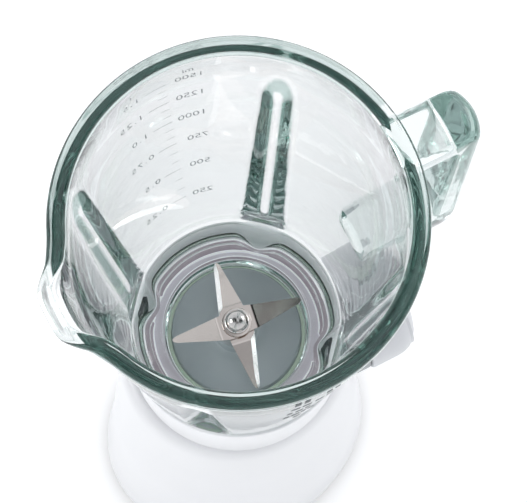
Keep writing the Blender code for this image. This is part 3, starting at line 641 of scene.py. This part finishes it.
def text_on_wall(bm, words, degrees, z, size, spacing=1.0):
    """Adds lettering that starts at an angle and runs round the outside, to be read from outside."""
    curve = bpy.data.curves.new("lettering", "FONT")
    curve.body = words
    curve.size = size
    curve.space_character = spacing
    curve.resolution_u = 3
    letters = bpy.data.objects.new("lettering", curve)
    bpy.context.scene.collection.objects.link(letters)
    bpy.context.view_layer.update()
    flat = bpy.data.meshes.new_from_object(letters.evaluated_get(bpy.context.evaluated_depsgraph_get()))
    start = math.radians(degrees)
    points = [bm.verts.new(on_wall(start + v.co.x / wall_radius(z), z + v.co.y)) for v in flat.vertices]
    for face in flat.polygons:
        bm.faces.new([points[i] for i in face.vertices])
    bpy.data.objects.remove(letters, do_unlink=True)
    bpy.data.meshes.remove(flat)


def bar_on_wall(bm, start, end, low, high):
    """A printed bar between two angles in degrees and two heights."""
    steps = max(1, round((end - start) / 2.0))
    angles = [math.radians(mix(start, end, i / steps)) for i in range(steps + 1)]
    under, over = [[bm.verts.new(on_wall(angle, z)) for angle in angles] for z in (low, high)]
    for i in range(steps):
        bm.faces.new((under[i], under[i + 1], over[i + 1], over[i]))


SCALE_ROWS = (            # millilitres, litres, height above the blade plate
    ("250", "0.25", 53.0), ("500", "0.5", 84.0), ("750", "0.75", 111.5),
    ("1000", "1.0", 134.5), ("1250", "1.25", 155.0), ("1500", "1.5", 174.5),
)


def make_scale():
    """Volume marks: millilitres, a tick and litres in each row, with short ticks between the rows."""
    bm = bmesh.new()
    previous = None
    for millilitres, litres, above in SCALE_ROWS:
        z = DISC_Z + above
        text_on_wall(bm, millilitres, 74.0, z - 1.9, 6.4)
        text_on_wall(bm, litres, 97.5, z - 1.6, 6.0, spacing=1.25)
        bar_on_wall(bm, 87.5, 95.5, z - 0.2, z + 0.2)
        if previous:
            for k in (0.33, 0.67):
                between = mix(previous, z, k)
                bar_on_wall(bm, 87.5, 91.0, between - 0.15, between + 0.15)
        previous = z
    text_on_wall(bm, "ml", 77.5, DISC_Z + 180.5, 5.2)
    text_on_wall(bm, "l", 100.5, DISC_Z + 180.5, 5.2)
    from_bmesh("volume_scale_print", bm, "scale_ink", "jug", recalculate=False)


def make_second_print():
    """Rows of plain blocks on the front, standing in for a table of lettering."""
    bm = bmesh.new()
    chance = random.Random(4)
    for row in range(5):
        z = DISC_Z + 168.0 - 27.0 * row
        at = -99.0
        while at < -60.0:
            width = chance.uniform(1.8, 3.4)
            if chance.random() < 0.72:
                bar_on_wall(bm, at, at + width, z, z + 9.0)
            at += width + chance.uniform(0.8, 1.6)
    from_bmesh("table_print", bm, "dark_ink", "jug", recalculate=False)


# ---------------------------------------------------------------- the parts in the jug's foot
def make_holder():
    """The round plate that carries the blade shaft, with its seal ring and hub."""
    edge = 27.55
    profile = [
        (4.6, DISC_Z + 5.4), (6.0, DISC_Z + 5.8), (8.4, DISC_Z + 5.4), (9.2, DISC_Z + 4.2),
        (9.8, DISC_Z + 1.4), (11.2, DISC_Z + 0.5), (14.0, DISC_Z + 0.25), (18.0, DISC_Z + 0.1),
        (26.0, DISC_Z), (27.1, DISC_Z - 0.3),
        (edge, DISC_Z - 1.0), (edge, DISC_Z - 9.6), (41.8, DISC_Z - 9.6), (41.8, DISC_Z - 11.9),
        (14.0, DISC_Z - 12.0), (13.0, DISC_Z - 14.4), (4.6, DISC_Z - 14.4),
    ]
    inside = ["blade_holder", "upper_bush", "lower_bush", "shaft_seal"]
    turned("holder_plate", profile, "plate", "jug", inside)
    lip = [(27.85, DISC_Z - 3.3), (28.2, DISC_Z - 3.0), (28.55, DISC_Z - 3.3), (28.55, DISC_Z - 7.3),
           (43.0, DISC_Z - 7.3), (43.0, DISC_Z - 9.3), (27.85, DISC_Z - 9.3)]
    turned("seal_ring", lip, "seal", "jug", ["jug_gasket"])


def make_collar():
    inner = 44.8
    outline = [
        (inner, COLLAR_HIGH_Z, 0.3), (48.5, COLLAR_HIGH_Z, 1.2), (47.8, DISC_Z, 0.0),
        (45.4, COLLAR_LOW_Z + 0.1, 1.2), (42.8, COLLAR_LOW_Z + 0.1, 0.4), (42.8, DISC_Z - 16.0, 0.4),
        (33.0, DISC_Z - 16.0, 0.4), (33.0, DISC_Z - 12.3, 0.4), (inner, DISC_Z - 12.3, 0.4),
    ]
    profile = rounded([(r, z) for r, z, _ in outline], [c for _, _, c in outline])
    turned("screw_collar", profile, "white", "jug", ["jug_collar"])


BLADE_TIP_R = 28.3
BLADE_FOLD_R = 8.2
BLADE_T = 1.35
BEVEL_W = 1.9             # width of the ground edge
POINT_R = 26.5            # where the rounded point of a wing begins


def wing_edges(x):
    """The straight ground edge and the raked back edge of a blade at x along it."""
    if x < 0:
        low, high = wing_edges(-x)
        return -high, -low
    ground = mix(6.2, 1.3, max(0.0, x - 5.0) / (BLADE_TIP_R - 5.0))
    back = 5.5 - 0.1 * x if x < 8.0 else mix(4.7, 0.9, (x - 8.0) / (BLADE_TIP_R - 8.0))
    return -back, ground


def blade_section(x, bottom, bevel_on_top):
    """The six corners of a blade's cross-section at x, with the bevel on its upper or its lower side."""
    low, high = wing_edges(x)
    narrow = 1.0
    if abs(x) > POINT_R:
        narrow = math.sqrt(max(0.02, 1.0 - ((abs(x) - POINT_R) / (BLADE_TIP_R + 0.1 - POINT_R)) ** 2))
    middle = (low + high) / 2
    low, high = middle + (low - middle) * narrow, middle + (high - middle) * narrow
    grind = min(BEVEL_W, (high - low) * 0.45) * smooth((abs(x) - 5.5) / 3.0)
    over, under = (grind, 0.0) if bevel_on_top else (0.0, grind)
    top = bottom + BLADE_T
    sharp_z = (bottom + 0.15) if bevel_on_top else (top - 0.15)
    upper = mix(top, sharp_z, min(1.0, grind))
    if x > 0:
        lower = mix(bottom, sharp_z, min(1.0, grind))
        return [(low, bottom), (high - under, bottom), (high, lower),
                (high, upper), (high - over, top), (low, top)]
    half_way = mix(bottom, top, 0.5)
    return [(low + under, bottom), (high, bottom), (high, half_way),
            (high, top), (low + over, top), (low, upper)]


def make_blade(name, node_name, rise, bevel_on_top, degrees):
    """A bent strip with a rounded point at each end and a ground bevel along each straight edge."""
    low_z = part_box(node_name)[0 if rise > 0 else 1].z / MM
    foot = low_z if rise > 0 else low_z - 1.4
    wing = [5.0, 6.6, BLADE_FOLD_R - 0.7, BLADE_FOLD_R, BLADE_FOLD_R + 0.7, 12.0, 16.0, 20.0, 24.0]
    wing += [POINT_R, 27.6, 28.1, BLADE_TIP_R]
    bm = bmesh.new()
    rings = []
    for x in [-x for x in reversed(wing)] + [-2.5, 2.5] + wing:
        lift = rise * max(0.0, abs(x) - BLADE_FOLD_R) / (BLADE_TIP_R - BLADE_FOLD_R)
        rings.append([(x, y, z) for y, z in blade_section(x, foot + lift, bevel_on_top)])
    skin(bm, rings)
    bmesh.ops.remove_doubles(bm, verts=bm.verts, dist=0.0005)
    bmesh.ops.rotate(bm, verts=bm.verts, matrix=Matrix.Rotation(math.radians(degrees), 3, "Z"))
    blade = from_bmesh(name, bm, "steel", "blades", [node_name], sharp=22.0)
    blade.data.materials.append(MATERIALS["ground"])
    for face in blade.data.polygons:
        face.material_index = 1 if 0.3 < face.normal.z < 0.93 else 0


DOME_NUT = (              # radius, height above the nut's foot
    (0.0, 5.4), (0.9, 5.35), (1.9, 5.05), (2.9, 4.5), (3.8, 3.7), (4.5, 2.6), (4.8, 1.6), (5.0, 1.5),
    (5.2, 1.3), (5.2, 0.3), (5.0, 0.05), (4.0, 0.0), (0.0, 0.0),
)


def make_blades():
    make_blade("blade_under", "lower_blade", -4.0, True, 80.6)
    make_blade("blade_over", "upper_blade", 5.0, False, -9.4)
    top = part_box("upper_blade")[0].z / MM + 1.4
    washer = rounded([(4.4, top + 1.3), (6.3, top + 1.3), (6.3, top + 0.25), (4.4, top + 0.25)], 0.2)
    turned("hub_washer", washer, "steel", "blades", ["blade_washer"], steps=72)
    nut_low = top + 1.4
    nut = [(radius, nut_low + above) for radius, above in DOME_NUT]
    turned("polished_dome_nut", nut, "chrome", "blades", ["dome_nut", "blade_shaft"],
           steps=72)
    low, high = DISC_Z + 6.2, DISC_Z + 13.0
    sleeve = rounded([(4.3, low), (6.6, low), (6.6, high), (4.3, high)], 0.4)
    turned("hub_sleeve", sleeve, "steel", "blades", ["shaft_sleeve"], steps=72)


# ---------------------------------------------------------------- the motor base
CASING = (   # height, half length along X, half width along Y
    (6.3, 60.4, 51.4), (7.6, 60.9, 51.9), (12.0, 60.3, 51.5), (22.0, 59.0, 50.6), (50.0, 57.0, 50.0),
    (80.0, 55.4, 49.3), (110.0, 53.1, 48.5), (140.0, 51.8, 47.9), (160.0, 51.5, 47.7), (168.0, 51.2, 47.4),
    (172.0, 50.6, 46.9), (174.6, 49.4, 45.8), (176.0, 47.6, 44.2), (DECK_Z - 0.05, 45.0, 41.8),
)
CASING_WALL = 2.6


def oval(a, b, z, count=160):
    return [(a * math.cos(TURN * i / count), b * math.sin(TURN * i / count), z) for i in range(count)]


def make_casing():
    """The white oval shell with a soft shoulder, hollow, with its deck open in the middle."""
    bm = bmesh.new()
    rings = []
    for (z, a, b), (next_z, next_a, next_b) in zip(CASING, CASING[1:]):
        steps = max(1, round((next_z - z) / 5.0))
        for k in range(steps):
            t = k / steps
            rings.append(oval(mix(a, next_a, t), mix(b, next_b, t), mix(z, next_z, t)))
    top_z, top_a, top_b = CASING[-1]
    rings.append(oval(top_a, top_b, top_z))
    rings.append(oval(30.0, 29.0, DECK_Z - 0.02))
    rings.append(oval(21.2, 21.2, DECK_Z - 0.05))
    rings.append(oval(21.0, 21.0, DECK_Z - 2.4))
    for z, a, b in reversed(CASING[:-2]):
        rings.append(oval(a - CASING_WALL, b - CASING_WALL, min(z, DECK_Z - CASING_WALL)))
    skin(bm, rings, closed=True)
    from_bmesh("casing_shell", bm, "white", "base", ["upper_housing"])


def make_seat():
    low, high = DECK_Z + 0.3, DECK_Z + 9.5
    outline = [(22.0, high - 1.5), (24.0, high), (40.5, high), (42.0, high - 1.5), (42.0, low), (22.0, low)]
    profile = rounded(outline, 0.6)
    turned("seat_ring", profile, "trim", "base", ["jug_seat"])


def make_foot_ring():
    """A narrow dark band under the casing, round the edge of the bottom plate."""
    bm = bmesh.new()
    levels = ((3.0, 59.2, 50.2), (3.6, 60.0, 51.0), (5.6, 60.4, 51.4), (5.6, 52.0, 43.0), (3.0, 52.0, 43.0))
    skin(bm, [oval(a, b, z) for z, a, b in levels], closed=True)
    from_bmesh("foot_ring", bm, "dark", "base")


KNOB_DOME = (   # radius, how far the domed face lies behind its middle
    (0.0, 0.0), (6.0, 0.15), (11.0, 0.7), (16.0, 1.7), (20.0, 3.2), (23.0, 5.2), (25.0, 7.8), (26.1, 10.6),
)


def dome_drop(radius):
    """How far the knob's face lies behind its middle at a radius."""
    for (near, low), (far, high) in zip(KNOB_DOME, KNOB_DOME[1:]):
        if radius <= far:
            return mix(low, high, (radius - near) / (far - near))
    return KNOB_DOME[-1][1]


def make_knob():
    """A deep round cap with a domed face and a raised pointer on it."""
    centre = (0.0, 0.0, KNOB_C.z / MM)
    back, end = KNOB_BACK_X + 0.1, KNOB_END_X - 0.4
    profile = [(radius, end - drop) for radius, drop in KNOB_DOME]
    profile += [
        (KNOB_R - 0.05, end - 14.0), (KNOB_R - 0.05, back + 1.2), (KNOB_R - 0.4, back + 0.4),
        (KNOB_R - 1.2, back), (24.2, back), (24.0, back + 0.4), (24.0, 76.4), (0.0, 76.4),
    ]
    turned("knob_cap", profile, "knob", "knob", ["speed_knob"], axis="X", centre=centre)
    bm = bmesh.new()
    rings = []
    for above in (8.0, 8.6, 11.0, 13.5, 16.0, 18.0, 20.0, 21.0):
        half = 0.7 if above in (8.0, 21.0) else 1.1
        under, over = end - dome_drop(above) - 1.4, end - dome_drop(above) + 0.35
        z = KNOB_C.z / MM + above
        rings.append([(under, -half, z), (over, -half, z), (over, half, z), (under, half, z)])
    skin(bm, rings)
    from_bmesh("knob_pointer", bm, "dark", "knob")


# ---------------------------------------------------------------- stage and light
PATCHES = (               # direction, cosine at the outer edge, at the core, brightness left in the core
    ((-0.34, 0.25, 0.90), 0.88, 0.955, 0.02),
    ((-0.16, -0.33, 0.93), 0.93, 0.99, 0.30),
    ((0.56, -0.39, 0.73), 0.93, 0.97, 0.06),
)


def make_stage():
    bm = bmesh.new()
    bmesh.ops.create_grid(bm, x_segments=1, y_segments=1, size=4.0)
    mesh = bpy.data.meshes.new("floor")
    bm.to_mesh(mesh)
    bm.free()
    made, tree, shader, output = new_material("pale_floor")
    shader.inputs["Base Color"].default_value = (0.95, 0.95, 0.95, 1.0)
    shader.inputs["Roughness"].default_value = 0.9
    shader.inputs["Specular IOR Level"].default_value = 0.0
    shader.inputs["Emission Color"].default_value = (1.0, 1.0, 1.0, 1.0)
    shader.inputs["Emission Strength"].default_value = 0.30
    mesh.materials.append(made)
    floor = bpy.data.objects.new("floor", mesh)
    bpy.context.scene.collection.objects.link(floor)


def make_world():
    """A white room, a little greyer overhead, with the dark of the boom and the camera beside the zenith."""
    world = bpy.data.worlds.new("studio")
    world.use_nodes = True
    tree = world.node_tree
    background = tree.nodes["Background"]
    where = node(tree, "ShaderNodeTexCoord")
    parts = node(tree, "ShaderNodeSeparateXYZ")
    tree.links.new(where.outputs["Generated"], parts.inputs["Vector"])
    shade = ramp(tree, parts.outputs["Z"], [(0.0, (0.98, 0.99, 1.0)), (0.45, (0.90, 0.92, 0.96)),
                                            (0.78, (0.80, 0.82, 0.85)), (1.0, (0.74, 0.76, 0.79))])
    colour = shade
    for direction, edge, core, left in PATCHES:
        facing = node(tree, "ShaderNodeVectorMath", operation="DOT_PRODUCT")
        facing.inputs[1].default_value = Vector(direction).normalized()
        tree.links.new(where.outputs["Generated"], facing.inputs[0])
        patch = ramp(tree, facing.outputs["Value"], [(edge, grey(1.0)), (core, grey(left))])
        both = node(tree, "ShaderNodeMix", data_type="RGBA", blend_type="MULTIPLY")
        both.inputs["Factor"].default_value = 1.0
        tree.links.new(colour, both.inputs["A"])
        tree.links.new(patch, both.inputs["B"])
        colour = both.outputs["Result"]
    tree.links.new(colour, background.inputs["Color"])
    background.inputs["Strength"].default_value = 1.09
    bpy.context.scene.world = world


def area_light(name, at, target, size, power):
    data = bpy.data.lights.new(name, "AREA")
    data.shape = "RECTANGLE"
    data.size, data.size_y = size
    data.energy = power
    light = bpy.data.objects.new(name, data)
    direction = Vector(target) - Vector(at)
    facing = direction.to_track_quat("-Z", "Y").to_matrix().to_4x4()
    light.matrix_world = Matrix.Translation(Vector(at)) @ facing
    bpy.context.scene.collection.objects.link(light)


def make_lights():
    area_light("key", (-1.6, 0.65, 1.3), (0.0, 0.0, 0.25), (0.9, 0.8), 9.0)
    area_light("fill", (1.85, 0.1, 1.0), (0.0, 0.0, 0.22), (0.9, 0.8), 7.0)
    scene = bpy.context.scene
    scene.cycles.max_bounces = 40
    scene.cycles.transmission_bounces = 40
    scene.cycles.glossy_bounces = 40
    scene.cycles.blur_glossy = 0.0
    scene.view_settings.view_transform = "Standard"


# ---------------------------------------------------------------- assembly
make_camera()
make_world()
make_lights()
make_stage()
finish_cad_nodes()
make_jug()
make_scale()
make_second_print()
make_holder()
make_collar()
make_blades()
make_casing()
make_seat()
make_foot_ring()
make_knob()
